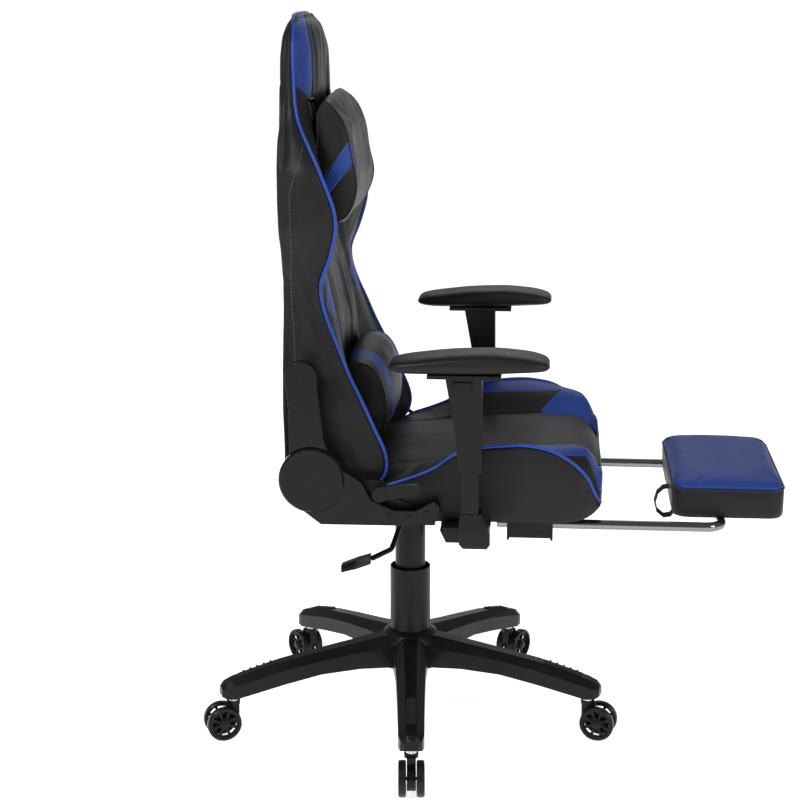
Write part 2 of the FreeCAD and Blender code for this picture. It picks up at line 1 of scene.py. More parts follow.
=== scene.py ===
"""Gaming chair: upholstery, finishes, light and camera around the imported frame."""
import math
import bmesh
import bpy
import numpy as np
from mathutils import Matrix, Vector, noise


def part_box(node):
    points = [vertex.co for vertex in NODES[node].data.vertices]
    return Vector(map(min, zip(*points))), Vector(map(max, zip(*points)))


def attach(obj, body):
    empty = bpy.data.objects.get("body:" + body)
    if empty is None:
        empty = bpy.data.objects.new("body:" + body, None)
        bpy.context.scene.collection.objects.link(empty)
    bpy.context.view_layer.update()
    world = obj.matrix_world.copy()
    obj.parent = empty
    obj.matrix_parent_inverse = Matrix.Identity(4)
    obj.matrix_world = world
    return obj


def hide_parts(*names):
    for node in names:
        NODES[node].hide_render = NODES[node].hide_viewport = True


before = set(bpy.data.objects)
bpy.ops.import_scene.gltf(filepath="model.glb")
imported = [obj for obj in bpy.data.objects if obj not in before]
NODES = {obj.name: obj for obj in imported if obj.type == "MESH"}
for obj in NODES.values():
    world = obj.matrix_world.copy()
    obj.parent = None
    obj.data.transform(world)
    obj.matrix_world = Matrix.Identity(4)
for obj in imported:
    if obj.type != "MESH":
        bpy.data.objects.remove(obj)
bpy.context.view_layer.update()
MM = 0.001
OUTSIDE = -0.004             # "panel" value of black leather well away from a blue panel


# ================================================================ materials
def finish(name, colour, roughness, spread, shade, patch, metallic=0.0, grain=None,
           specular=0.16):
    """A procedural surface: patchy colour and roughness, and an optional grain.

    spread and shade are how far the roughness and the colour wander, and a larger patch
    number makes smaller patches. grain is (kind, scale, depth): "noise" is a moulded or cast
    surface, "weave" is cloth.
    """
    made = bpy.data.materials.new(name)
    made.use_nodes = True
    nodes, links = made.node_tree.nodes, made.node_tree.links
    shader = nodes["Principled BSDF"]
    shader.inputs["Metallic"].default_value = metallic
    shader.inputs["Specular IOR Level"].default_value = specular
    place = nodes.new("ShaderNodeTexCoord")
    patches = nodes.new("ShaderNodeTexNoise")
    patches.inputs["Scale"].default_value = patch
    patches.inputs["Detail"].default_value = 5
    patches.inputs["Roughness"].default_value = 0.6
    links.new(place.outputs["Object"], patches.inputs["Vector"])
    tint = nodes.new("ShaderNodeMix")
    tint.data_type = "RGBA"
    tint.inputs[6].default_value = [c * (1 - shade) for c in colour] + [1]
    tint.inputs[7].default_value = [min(1, c * (1 + shade)) for c in colour] + [1]
    links.new(patches.outputs["Fac"], tint.inputs[0])
    links.new(tint.outputs[2], shader.inputs["Base Color"])
    rough = nodes.new("ShaderNodeMapRange")
    rough.inputs["From Min"].default_value = 0.3
    rough.inputs["From Max"].default_value = 0.7
    rough.inputs["To Min"].default_value = max(0.02, roughness - spread)
    rough.inputs["To Max"].default_value = min(1, roughness + spread)
    links.new(patches.outputs["Fac"], rough.inputs["Value"])
    links.new(rough.outputs["Result"], shader.inputs["Roughness"])
    if grain:
        kind, scale, depth = grain
        if kind == "weave":
            texture = nodes.new("ShaderNodeTexWave")
            texture.inputs["Distortion"].default_value = 0.6
        else:
            texture = nodes.new("ShaderNodeTexNoise")
            texture.inputs["Detail"].default_value = 3
        texture.inputs["Scale"].default_value = scale
        links.new(place.outputs["Object"], texture.inputs["Vector"])
        bump = nodes.new("ShaderNodeBump")
        bump.inputs["Strength"].default_value = 0.35
        bump.inputs["Distance"].default_value = depth
        links.new(texture.outputs["Fac"], bump.inputs["Height"])
        links.new(bump.outputs["Normal"], shader.inputs["Normal"])
    return made


COLOUR_JOIN = 0.0004         # half the width over which one leather colour meets the other, m
GROOVE_HALF_WIDTH = 0.0020   # the stitched groove between two panels, m
GROOVE_DEPTH = 0.0012
PEBBLES = 640                # cells of the leather's grain in a metre
PEBBLE_DEPTH = 0.0005


def leather(name, dark, bright, roughness):
    """Soft PU leather in two colours, split where the mesh's "panel" attribute crosses zero.

    The attribute is a distance in metres, positive inside a bright panel, and the join
    between panels is a stitched groove.
    """
    made = finish(name, dark, roughness, spread=0.05, shade=0.10, patch=7, specular=0.17)
    nodes, links = made.node_tree.nodes, made.node_tree.links
    shader = nodes["Principled BSDF"]
    base = shader.inputs["Base Color"].links[0].from_socket
    patches = nodes["Noise Texture"]
    reach = nodes.new("ShaderNodeAttribute")
    reach.attribute_name = "panel"
    inside = nodes.new("ShaderNodeMapRange")
    inside.inputs["From Min"].default_value = -COLOUR_JOIN
    inside.inputs["From Max"].default_value = COLOUR_JOIN
    links.new(reach.outputs["Fac"], inside.inputs["Value"])
    tint = nodes.new("ShaderNodeMix")
    tint.data_type = "RGBA"
    tint.inputs[6].default_value = [c * 0.9 for c in bright] + [1]
    tint.inputs[7].default_value = [c * 1.1 for c in bright] + [1]
    links.new(patches.outputs["Fac"], tint.inputs[0])
    both = nodes.new("ShaderNodeMix")
    both.data_type = "RGBA"
    links.new(inside.outputs["Result"], both.inputs[0])
    links.new(base, both.inputs[6])
    links.new(tint.outputs[2], both.inputs[7])
    links.new(both.outputs[2], shader.inputs["Base Color"])

    away = nodes.new("ShaderNodeMath")
    away.operation = "ABSOLUTE"
    links.new(reach.outputs["Fac"], away.inputs[0])
    groove = nodes.new("ShaderNodeMapRange")
    groove.interpolation_type = "SMOOTHSTEP"
    groove.inputs["From Max"].default_value = GROOVE_HALF_WIDTH
    links.new(away.outputs["Value"], groove.inputs["Value"])
    sunk = nodes.new("ShaderNodeBump")
    sunk.inputs["Strength"].default_value = 0.9
    sunk.inputs["Distance"].default_value = GROOVE_DEPTH
    links.new(groove.outputs["Result"], sunk.inputs["Height"])
    cells = nodes.new("ShaderNodeTexVoronoi")
    cells.feature = "DISTANCE_TO_EDGE"
    cells.inputs["Scale"].default_value = PEBBLES
    place = nodes["Texture Coordinate"]
    links.new(place.outputs["Object"], cells.inputs["Vector"])
    pebbled = nodes.new("ShaderNodeBump")
    pebbled.inputs["Strength"].default_value = 0.30
    pebbled.inputs["Distance"].default_value = PEBBLE_DEPTH
    links.new(cells.outputs["Distance"], pebbled.inputs["Height"])
    links.new(sunk.outputs["Normal"], pebbled.inputs["Normal"])
    links.new(pebbled.outputs["Normal"], shader.inputs["Normal"])
    return made


LEATHER = leather("leather_two_tone", dark=(0.0085, 0.0085, 0.0095),
                  bright=(0.014, 0.036, 0.175), roughness=0.47)
BLUE_PIPING = finish("piping_blue", (0.020, 0.050, 0.255), roughness=0.36, spread=0.05,
                     shade=0.10, patch=30, grain=("noise", 900, 0.0003))
BLACK_PIPING = finish("piping_black", (0.012, 0.012, 0.013), roughness=0.4, spread=0.05,
                      shade=0.10, patch=30, grain=("noise", 900, 0.0003))
SEAM_THREAD = finish("seam_thread", (0.12, 0.12, 0.125), roughness=0.7, spread=0.05, shade=0.2,
                     patch=200)
STRAP = finish("strap_weave", (0.010, 0.010, 0.011), roughness=0.8, spread=0.05, shade=0.25,
               patch=60, grain=("weave", 420, 0.0006))
NYLON = finish("nylon_black", (0.0055, 0.0055, 0.006), roughness=0.34, spread=0.07, shade=0.12,
               patch=14, grain=("noise", 1400, 0.00012))
NYLON_TEXTURED = finish("nylon_textured", (0.016, 0.016, 0.017), roughness=0.6, spread=0.06,
                        shade=0.15, patch=30, grain=("noise", 1100, 0.0004))
GLOSS_PLASTIC = finish("plastic_semi_gloss", (0.0045, 0.0045, 0.005), roughness=0.22, spread=0.05,
                       shade=0.12, patch=12, grain=("noise", 1500, 0.0001))
PAD_RUBBER = finish("arm_pad_skin", (0.0085, 0.0085, 0.009), roughness=0.42, spread=0.06,
                    shade=0.12, patch=12, grain=("noise", 1200, 0.0003))
TYRE = finish("caster_tyre", (0.008, 0.008, 0.009), roughness=0.32, spread=0.08, shade=0.2,
              patch=40, grain=("noise", 900, 0.0002))
STEEL_BLACK = finish("powder_coat", (0.006, 0.006, 0.0065), roughness=0.38, spread=0.06,
                     shade=0.12, patch=20, grain=("noise", 1600, 0.0002))
STEEL = finish("machined_steel", (0.55, 0.56, 0.58), roughness=0.28, spread=0.08, shade=0.06,
               patch=30, metallic=1.0, grain=("noise", 700, 0.0001))
# Polished metal for the footrest frame, its colour darkened well below its real brightness: a painted
# dark reflection that stands in for the dark surroundings its rods mirror
CHROME_PAINTED_DARK = finish("chrome", (0.20, 0.205, 0.215), roughness=0.07, spread=0.03, shade=0.03,
                patch=20, metallic=1.0)
PLYWOOD = finish("plywood", (0.32, 0.20, 0.10), roughness=0.6, spread=0.08, shade=0.2,
                 patch=40, grain=("noise", 300, 0.0003))
LINED_BOARD = finish("board_lining", (0.012, 0.012, 0.013), roughness=0.8, spread=0.05, shade=0.2,
                     patch=60, grain=("weave", 900, 0.0002))


# ================================================================ small tools
def smooth_through(keys, values):
    """A smooth function through (key, value) pairs that never overshoots them."""
    keys, values = np.array(keys, float), np.array(values, float)
    steps = np.diff(keys)
    slopes = np.diff(values) / steps
    tangents = np.zeros(len(keys))
    tangents[0], tangents[-1] = slopes[0], slopes[-1]
    for i in range(1, len(keys) - 1):
        if slopes[i - 1] * slopes[i] > 0:
            w0, w1 = 2 * steps[i] + steps[i - 1], steps[i] + 2 * steps[i - 1]
            tangents[i] = (w0 + w1) / (w0 / slopes[i - 1] + w1 / slopes[i])

    def read(x):
        x = min(max(x, keys[0]), keys[-1])
        i = min(int(np.searchsorted(keys, x, side="right")) - 1, len(steps) - 1)
        t = (x - keys[i]) / steps[i]
        return ((1 + 2 * t) * (1 - t) ** 2 * values[i] + t * (1 - t) ** 2 * steps[i] * tangents[i]
                + t * t * (3 - 2 * t) * values[i + 1] + t * t * (t - 1) * steps[i] * tangents[i + 1])
    return read


def bow(start, pull, end, count):
    """count points along a quadratic curve, without its end."""
    start, pull, end = np.array(start), np.array(pull), np.array(end)
    t = (np.arange(count) / count)[:, None]
    return (1 - t) ** 2 * start + 2 * t * (1 - t) * pull + t ** 2 * end


def closed_spline(points, count):
    """A smooth closed outline through points, evenly divided."""
    points = np.array(points, float)
    n = len(points)
    dense = []
    for i in range(n):
        p0, p1, p2, p3 = (points[(i + k - 1) % n] for k in range(4))
        for t in np.linspace(0, 1, 24, endpoint=False):
            dense.append(0.5 * (2 * p1 + (p2 - p0) * t + (2 * p0 - 5 * p1 + 4 * p2 - p3) * t * t
                                + (3 * p1 - p0 - 3 * p2 + p3) * t ** 3))
    dense = np.array(dense + [dense[0]])
    reach = np.concatenate([[0], np.cumsum(np.linalg.norm(np.diff(dense, axis=0), axis=1))])
    spots = np.linspace(0, reach[-1], count, endpoint=False)
    return np.column_stack([np.interp(spots, reach, dense[:, k]) for k in range(2)])


def rounded_rectangle(x0, x1, y0, y1, radius, per_corner, per_side):
    """Points round a rectangle with round corners, anticlockwise from above."""
    points = []
    corners = (((x1 - radius, y0 + radius), -90), ((x1 - radius, y1 - radius), 0),
               ((x0 + radius, y1 - radius), 90), ((x0 + radius, y0 + radius), 180))
    for i, (centre, start) in enumerate(corners):
        for k in range(per_corner):
            turn = math.radians(start + 90 * k / per_corner)
            points.append((centre[0] + radius * math.cos(turn),
                           centre[1] + radius * math.sin(turn)))
        following = corners[(i + 1) % 4]
        end = math.radians(start + 90)
        a = np.array((centre[0] + radius * math.cos(end), centre[1] + radius * math.sin(end)))
        b = np.array((following[0][0] + radius * math.cos(end),
                      following[0][1] + radius * math.sin(end)))
        for k in range(per_side):
            points.append(tuple(a + (b - a) * k / per_side))
    return np.array(points)


def piece(name, mesh, body, material):
    """A smooth-shaded object that rides on a body."""
    obj = bpy.data.objects.new(name, mesh)
    bpy.context.scene.collection.objects.link(obj)
    mesh.materials.append(material)
    for polygon in mesh.polygons:
        polygon.use_smooth = True
    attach(obj, body)
    return obj


def skin_mesh(name, rings, panel=None):
    """A closed mesh through rings of points; panel(row, column, point) is the distance
    inside a bright panel."""
    rows, columns = rings.shape[:2]
    vertices = [tuple(p) for p in rings.reshape(-1, 3)]
    faces = []
    for r in range(rows - 1):
        for c in range(columns):
            d = (c + 1) % columns
            faces.append((r * columns + c, r * columns + d, (r + 1) * columns + d,
                          (r + 1) * columns + c))
    for row in (0, rows - 1):
        hub = len(vertices)
        vertices.append(tuple(rings[row].mean(axis=0)))
        for c in range(columns):
            a, b = row * columns + c, row * columns + (c + 1) % columns
            faces.append((b, a, hub) if row == 0 else (a, b, hub))
    mesh = bpy.data.meshes.new(name)
    mesh.from_pydata(vertices, [], faces)
    if panel:
        inside = [panel(r, c, rings[r, c]) for r in range(rows) for c in range(columns)]
        inside += [panel(r, 0, rings[r].mean(axis=0)) for r in (0, rows - 1)]
        mesh.attributes.new("panel", "FLOAT", "POINT").data.foreach_set("value", inside)
    mesh.update()
    return mesh


def read_mesh(mesh):
    """Every vertex's place and normal."""
    spots, normals = np.zeros(len(mesh.vertices) * 3), np.zeros(len(mesh.vertices) * 3)
    mesh.vertices.foreach_get("co", spots)
    mesh.vertices.foreach_get("normal", normals)
    return spots.reshape(-1, 3), normals.reshape(-1, 3)


def write_mesh(mesh, spots):
    """Moves every vertex to its new place."""
    mesh.vertices.foreach_set("co", spots.ravel())
    mesh.update()


def inflate(obj, free, pressure, frames, cap, stiffness=18.0):
    """Puffs a piece with Cloth, by at most cap metres.

    free holds each vertex's freedom, 0 where a seam pins it.
    """
    mesh = obj.data
    start = read_mesh(mesh)[0]
    pins = obj.vertex_groups.new(name="pins")
    for i, freedom in enumerate(free):
        pins.add([i], float(1 - freedom), "REPLACE")
    cloth = obj.modifiers.new("puff", "CLOTH")
    settings = cloth.settings
    settings.vertex_group_mass = "pins"
    settings.use_pressure = True
    settings.uniform_pressure_force = pressure
    settings.effector_weights.gravity = 0
    settings.tension_stiffness = settings.compression_stiffness = stiffness
    settings.shear_stiffness = stiffness * 0.5
    settings.bending_stiffness = 0.6
    settings.quality = 4
    cloth.collision_settings.use_collision = False
    cloth.point_cache.frame_start = 1
    cloth.point_cache.frame_end = frames
    scene = bpy.context.scene
    for step in range(1, frames + 1):
        scene.frame_set(step)
    graph = bpy.context.evaluated_depsgraph_get()
    shaped = obj.evaluated_get(graph)
    end = read_mesh(shaped.data)[0]
    obj.modifiers.remove(cloth)
    obj.vertex_groups.remove(pins)
    move = end - start
    length = np.linalg.norm(move, axis=1, keepdims=True)
    move *= np.minimum(1, cap / np.maximum(length, 1e-9))
    write_mesh(mesh, start + move)
    scene.frame_set(1)


def wrinkle(obj, amount, scale, seed):
    """Soft uneven dimples along the normals, the same at every run."""
    spots, normals = read_mesh(obj.data)
    shift = Vector((seed, seed * 0.7, seed * 1.3))
    depth = [noise.fractal(Vector(p) * scale + shift, 1.0, 2.0, 3) for p in spots]
    write_mesh(obj.data, spots + normals * (amount * np.array(depth))[:, None])


def tube(name, points, radius, body, material, closed=False):
    """A smooth round piping through points that are already in place."""
    curve = bpy.data.curves.new(name, "CURVE")
    curve.dimensions = "3D"
    curve.bevel_depth = radius
    curve.bevel_resolution = 4
    curve.use_fill_caps = not closed
    spline = curve.splines.new("NURBS")
    spline.points.add(len(points) - 1)
    for target, point in zip(spline.points, points):
        target.co = (*point, 1)
    spline.use_cyclic_u = closed
    spline.use_endpoint_u = not closed
    spline.order_u = 4
    spline.resolution_u = 3
    obj = bpy.data.objects.new(name, curve)
    bpy.context.scene.collection.objects.link(obj)
    graph = bpy.context.evaluated_depsgraph_get()
    mesh = bpy.data.meshes.new_from_object(obj.evaluated_get(graph))
    bpy.data.objects.remove(obj)
    piece(name, mesh, body, material)


def stitches(name, lines, body, material, pitch=0.0055, length=0.0036, radius=0.00045):
    """Short thread dashes along lines of points."""
    sides = 6
    vertices, faces = [], []
    for line in lines:
        line = np.array(line)
        gaps = np.linalg.norm(np.diff(line, axis=0), axis=1)
        reach = np.concatenate([[0], np.cumsum(gaps)])
        for at in np.arange(pitch, reach[-1] - pitch, pitch):
            ends = []
            for where in (at - length / 2, at + length / 2):
                ends.append([np.interp(where, reach, line[:, k]) for k in range(3)])
            start, end = Vector(ends[0]), Vector(ends[1])
            along = (end - start).normalized()
            side = along.orthogonal().normalized()
            other = along.cross(side)
            base = len(vertices)
            for spot, size in ((start, 0.35), (start + along * length * 0.2, 1.0),
                               (end - along * length * 0.2, 1.0), (end, 0.35)):
                for k in range(sides):
                    turn = k * math.tau / sides
                    vertices.append(spot + radius * size * (side * math.cos(turn)
                                                            + other * math.sin(turn)))
            for ring in range(3):
                for k in range(sides):
                    a, b = base + ring * sides + k, base + ring * sides + (k + 1) % sides
                    faces.append((a, b, b + sides, a + sides))
            faces.append(tuple(base + sides - 1 - k for k in range(sides)))
            faces.append(tuple(base + 3 * sides + k for k in range(sides)))
    mesh = bpy.data.meshes.new(name)
    mesh.from_pydata([tuple(v) for v in vertices], [], faces)
    piece(name, mesh, body, material)


# ================================================================ backrest
# height, rear x, centre front x, piping x, seam half width, outer half width (mm)
BACK = np.array([
    (478, -186, -106, -58, 140, 228), (500, -190, -105, -27, 140, 239),
    (527, -192, -105, -20, 140, 243), (600, -193, -105, -47, 140, 244),
    (700, -193, -108, -93, 136, 236), (812, -196, -128, -129, 130, 218),
    (860, -196, -141, -112, 130, 228), (915, -197, -143, -101, 130, 243),
    (986, -198, -143, -122, 132, 239), (1040, -200, -143, -150, 132, 213),
    (1071, -200, -143, -166, 126, 191), (1117, -200, -142, -175, 108, 171),
    (1170, -202, -143, -178, 94, 159), (1200, -199, -149, -179, 84, 149),
    (1222, -193, -159, -181, 70, 124), (1232, -188, -171, -183, 52, 98),
]) * MM
BACK_READ = [smooth_through(BACK[:, 0], BACK[:, k]) for k in range(1, 6)]
STRIP = 9 * MM                       # width of the blue strip beside the sewn channels
STRIP_TOP = 985 * MM                 # where it ends
COUNTS = (12, 12, 3, 24, 18, 8, 18)  # columns: centre, channel, strip, wing, side, corner, rear
EDGES = np.cumsum((0,) + COUNTS)
HALF = EDGES[-1]
WEDGE_FOOT = 1100 * MM               # the blue side of the head starts here
DIAMOND_MIDDLE = 780 * MM            # the blue diamond on the wing, beside the waist
DIAMOND_HALF_HEIGHT = 45 * MM
SLOT_MIDDLE = (120 * MM, 1087 * MM)  # y and z of the left strap slot
SLOT_HALF = 17                       # half a trim's opening, mm
SLOT_CUT = 16.5 * MM                 # half of the opening in the leather, under the trim's lip
SLOT_HELD = (34 * MM, 38 * MM)       # leather this near a slot's middle stays with its trim
# How far the head's middle stands in front of its edges, at each height (m)
HEAD_ROUND = smooth_through([0.98, 1.06, 1.12, 1.2, 1.232], [0, 0.006, 0.0095, 0.009, 0.003])
CROWN_X, CROWN_TOP = -0.185, 1.2375  # where the piping crosses the crown
BACK_PIPING_RADIUS = 2.8 * MM
SIDE_SEAM = 0.86                     # where the side's stitching runs, as a share of the side
SIDE_SEAM_TURN = 0.955               # above this it sweeps forwards
SIDE_SEAM_SWEEP = 0.09               # over this height
SIDE_SEAM_TOP = 1.045


def back_half(height):
    """Half of the back's section at a height, from the front centre to the rear centre."""
    rear, front, edge, seam, outer = (read(height) for read in BACK_READ)
    channel = 0.52 * seam
    swell = 0.012 if edge > front else 0.016
    side = outer - 0.005
    crown = HEAD_ROUND(height)
    sewn, strip, join = (front - 0.001 - 0.35 * crown, front - 0.001 - 0.9 * crown,
                         front - 0.002 - crown)
    runs = [
        ((front, 0), (front + 0.005 - 0.1 * crown, -channel / 2), (sewn, -channel)),
        ((sewn, -channel), (front + 0.006 - 0.5 * crown, -(channel + seam - STRIP) / 2),
         (strip, -(seam - STRIP))),
        ((strip, -(seam - STRIP)), (strip + 0.003, -(seam - STRIP / 2)), (join, -seam)),
        ((join, -seam), ((join + edge) / 2 + swell, -(seam + outer) / 2 + 0.012),
         (edge, -side)),
        ((edge, -side), ((edge + rear) / 2 + 0.008, -(outer + 0.009)),
         (rear + 0.012, -(side - 0.001))),
        ((rear + 0.012, -(side - 0.001)), (rear + 0.001, -(side - 0.002)),
         (rear, -(side - 0.020))),
        ((rear, -(side - 0.020)), (rear - 0.001, -side / 2), (rear, 0)),
    ]
    return np.vstack([bow(*run, count) for run, count in zip(runs, COUNTS)] + [[(rear, 0)]])


def back_ring(height):
    """The back's whole section at a height, as points in space."""
    half = back_half(height)
    ring = np.vstack([half, half[1:-1][::-1] * (1, -1)])
    return np.column_stack([ring, np.full(len(ring), height)])


def shrunk(ring, share, lift):
    """A ring drawn towards its middle, for a rounded end."""
    middle = ring.mean(axis=0)
    small = middle + (ring - middle) * share
    small[:, 2] = ring[:, 2] + lift
    return small


def back_panel(column, height):
    """How far a point is inside a blue panel of the back."""
    c = min(column, 2 * HALF - column)
    if EDGES[2] <= c <= EDGES[3] and height < STRIP_TOP:  # its two edges count as just outside
        return min(c - EDGES[2], EDGES[3] - c) * STRIP / COUNTS[2] or -0.0001
    if EDGES[3] <= c <= EDGES[4]:
        s = (c - EDGES[3]) / COUNTS[3]
        foot = WEDGE_FOOT + (0.040 * (s - 0.3) if s > 0.3 else 0.110 * (0.3 - s))
        wedge = min(height - foot, s * 0.08, (1 - s) * 0.08 + 0.0005)
        rise = abs(height - DIAMOND_MIDDLE) / DIAMOND_HALF_HEIGHT
        diamond = 0.02 * (1 - rise - abs(s - 0.5) / 0.38)
        return max(wedge, diamond, OUTSIDE)
    return OUTSIDE


def mirrored_columns(*columns):
    """Columns of the right half and the same ones of the left half."""
    return sorted(set(columns) | {2 * HALF - c for c in columns})


def make_back():
    """The padded back and its wings as one sewn skin, closed at the foot and the crown."""
    heights = np.concatenate([np.linspace(0.478, 1.2, 150), np.linspace(1.204, 1.232, 9)])
    rings = [back_ring(h) for h in heights]
    first, last = rings[0], rings[-1]
    foot = [shrunk(first, s, lift) for s, lift in ((0.5, -0.0015), (0.8, -0.0014), (0.96, -0.001))]
    crown = [shrunk(last, s, lift) for s, lift in ((0.93, 0.0022), (0.8, 0.0038), (0.5, 0.0045))]
    rings = np.array(foot + rings + crown)
    rows, columns = rings.shape[:2]
    mesh = skin_mesh("backrest_cover", rings, lambda r, c, p: back_panel(c, p[2]))
    back = piece("backrest_cover", mesh, "backrest", LEATHER)
    seams = mirrored_columns(*EDGES[1:5])
    free = np.ones((rows, columns))
    free[:, seams] = 0
    free[:4] = free[-5:] = 0
    by_slot = np.abs(np.abs(rings[:, :, 1]) - SLOT_MIDDLE[0]) < SLOT_HELD[0]
    free[by_slot & (np.abs(rings[:, :, 2] - SLOT_MIDDLE[1]) < SLOT_HELD[1])] = 0
    inflate(back, np.append(free.ravel(), [0, 0]), pressure=2.2, frames=12, cap=0.006)
    sink_seams(back, [(r, c) for r in range(3, rows - 5)
                      for c in mirrored_columns(*EDGES[1:4])], columns, 0.0024)
    wrinkle(back, amount=0.0013, scale=9, seed=3.0)
    spots = read_mesh(mesh)[0][:rows * columns].reshape(rows, columns, 3)
    add_back_trim(spots, rows)
    cut_slots(back)
    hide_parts("back_cushion", "back_wing_right", "back_wing_left")


def add_back_trim(spots, rows):
    """The piping round the back's front edge, and the stitching on its sides and rear."""
    near, far = EDGES[4], 2 * HALF - EDGES[4]
    path = [spots[r, near] for r in range(3, rows - 4, 3)]
    over = abs(spots[rows - 5, near][1])
    path += [(CROWN_X, over * t, CROWN_TOP - 0.0050 * t ** 4)
             for t in np.linspace(-0.9, 0.9, 15)]
    path += [spots[r, far] for r in range(rows - 5, 2, -3)]
    tube("back_piping", [(x + 0.0012, y * 1.008, z) for x, y, z in path], BACK_PIPING_RADIUS,
         "backrest", BLUE_PIPING)
    lines = []
    for side in (1, -1):
        line = []
        for r in range(24, rows - 10):
            z = spots[r, near][2]
            if z > SIDE_SEAM_TOP:
                break
            sweep = min(1, max(0, z - SIDE_SEAM_TURN) / SIDE_SEAM_SWEEP)
            along = SIDE_SEAM - 0.8 * sweep ** 1.5
            at = near + along * COUNTS[4]
            c, part = int(at), at - int(at)
            x, y, z = spots[r, c] * (1 - part) + spots[r, c + 1] * part
            line.append((x, side * (y - 0.0005), z))
        lines.append(line)
        lines.append([spots[r, EDGES[6] + 4] * (1, side, 1) + (-0.0004, 0, 0)
                      for r in range(14, rows - 20)])
    stitches("back_stitching", lines, "backrest", SEAM_THREAD)


def sink_seams(obj, spots, columns, depth):
    """Sewn channels: the seam's points go in, and the ones beside it by nearly half as much."""
    places, normals = read_mesh(obj.data)
    for shift, share in ((0, 1.0), (-1, 0.45), (1, 0.45)):
        chosen = [r * columns + (c + shift) % columns for r, c in spots]
        places[chosen] -= normals[chosen] * depth * share
    write_mesh(obj.data, places)


def cut_slots(obj):
    """Opens the back where the two strap slots go through."""
    work = bmesh.new()
    work.from_mesh(obj.data)
    middle_y, middle_z = SLOT_MIDDLE
    gone = []
    for face in work.faces:
        at = face.calc_center_median()
        if (abs(abs(at.y) - middle_y) < SLOT_CUT and abs(at.z - middle_z) < SLOT_CUT
                and abs(face.normal.x) > 0.35):
            gone.append(face)
    bmesh.ops.delete(work, geom=gone, context="FACES")
    work.to_mesh(obj.data)
    work.free()


def front_at(y, z):
    """Front surface of the back at a side distance and a height."""
    half = back_half(z)[:EDGES[4]]
    return np.interp(abs(y), -half[:, 1], half[:, 0])


# Rings of a trim from its rear lip to its front one: how far outside the slot's edge, how far
# in front of a surface of the back (mm), and which surface
TRIM_RINGS = (
    (2.2, 1.6, "rear"), (2.2, 0, "rear"), (1.2, -0.9, "rear"), (-1.6, -0.9, "rear"),
    (-3.0, 0.6, "rear"), (-3.0, 0, "front"), (-2.6, 1.3, "front"), (-1.6, 2.0, "front"),
    (-0.3, 2.2, "front"), (0.8, 1.6, "front"), (1.2, 0.6, "front"), (1.2, -2.0, "front"))


def make_slot_trims():
    """Moulded tunnels for the straps, each with a rolled lip that follows the leather."""
    middle_y, middle_z = SLOT_MIDDLE
    rings = []
    rear = BACK_READ[0](middle_z)
    for grow, depth, place in TRIM_RINGS:
        half = (SLOT_HALF + grow) * MM
        loop = rounded_rectangle(middle_y - half, middle_y + half, middle_z - half,
                                 middle_z + half, 0.007, 6, 3)
        x = [(rear if place == "rear" else front_at(y, z)) + depth * MM for y, z in loop]
        rings.append(np.column_stack([x, loop]))
    count = len(rings[0])
    for side, sign in (("right", -1), ("left", 1)):
        spots = np.vstack(rings) * (1, sign, 1)
        faces = [(r * count + c, r * count + (c + 1) % count,
                  (r + 1) * count + (c + 1) % count, (r + 1) * count + c)
                 for r in range(len(rings) - 1) for c in range(count)]
        if sign > 0:
            faces = [face[::-1] for face in faces]
        mesh = bpy.data.meshes.new(f"slot_trim_{side}")
        mesh.from_pydata([tuple(p) for p in spots], [], faces)
        trim = piece(f"slot_trim_{side}", mesh, "backrest", GLOSS_PLASTIC)
        thick = trim.modifiers.new("wall", "SOLIDIFY")
        thick.thickness = 0.0012
        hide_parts("strap_slot_trims")


# ================================================================ seat
# x, centre top, piping height, underside (mm)
SEAT = np.array([
    (-84, 498, 462, 439), (-50, 504, 470, 437), (-20, 507, 494, 437), (10, 509, 505, 437),
    (55, 514, 524, 437), (92, 519, 549, 437), (132, 523, 561, 437), (195, 527, 566, 437),
    (235, 529, 561, 437), (267, 528, 547, 438), (291, 524, 529, 442), (307, 515, 508, 449),
    (318, 503, 480, 457), (322, 497, 468, 461),
]) * MM
SEAT_READ = [smooth_through(SEAT[:, 0], SEAT[:, k]) for k in range(1, 4)]
# Height that the bolster's slope bends towards, at each x from 0.16 forwards (m)
BOLSTER_PULL = smooth_through([0.16, 0.2, 0.235, 0.275, 0.298, 0.312, 0.322],
                              [0.561, 0.563, 0.568, 0.580, 0.584, 0.572, 0.548])
SEAT_INNER, SEAT_OUTER = 150 * MM, 254 * MM
SEAT_COUNTS = (22, 20, 16, 26)  # columns: centre, bolster slope, side, underside
SEAT_EDGES = np.cumsum((0,) + SEAT_COUNTS)
SEAT_HALF = SEAT_EDGES[-1]


def seat_ring(x):
    """The seat's section at a distance forwards: a flat centre between two raised bolsters."""
    centre, edge, low = (read(x) for read in SEAT_READ)
    taper = max(0.0, (x - 0.285) / 0.045)
    outer = SEAT_OUTER - 0.016 * taper ** 2
    back = max(0.0, (-0.02 - x) / 0.07)
    inner = SEAT_INNER
    dip = centre - 0.001
    pull = max(dip, edge) - 0.003 - 0.005 * back if x < 0.16 else BOLSTER_PULL(x)
    runs = [
        ((0, centre + 0.004), (-inner / 2, centre + 0.004), (-inner, dip)),
        ((-inner, dip), (-(inner + outer) / 2, pull), (-outer + 0.002, edge)),
        ((-outer + 0.002, edge), (-outer - 0.006, (edge + low) / 2), (-outer + 0.006, low)),
        ((-outer + 0.006, low), (-outer / 2, low), (0, low)),
    ]
    half = np.vstack([bow(*run, count) for run, count in zip(runs, SEAT_COUNTS)] + [[(0, low)]])
    ring = np.vstack([half, half[1:-1][::-1] * (-1, 1)])
    return np.column_stack([np.full(len(ring), x), ring])


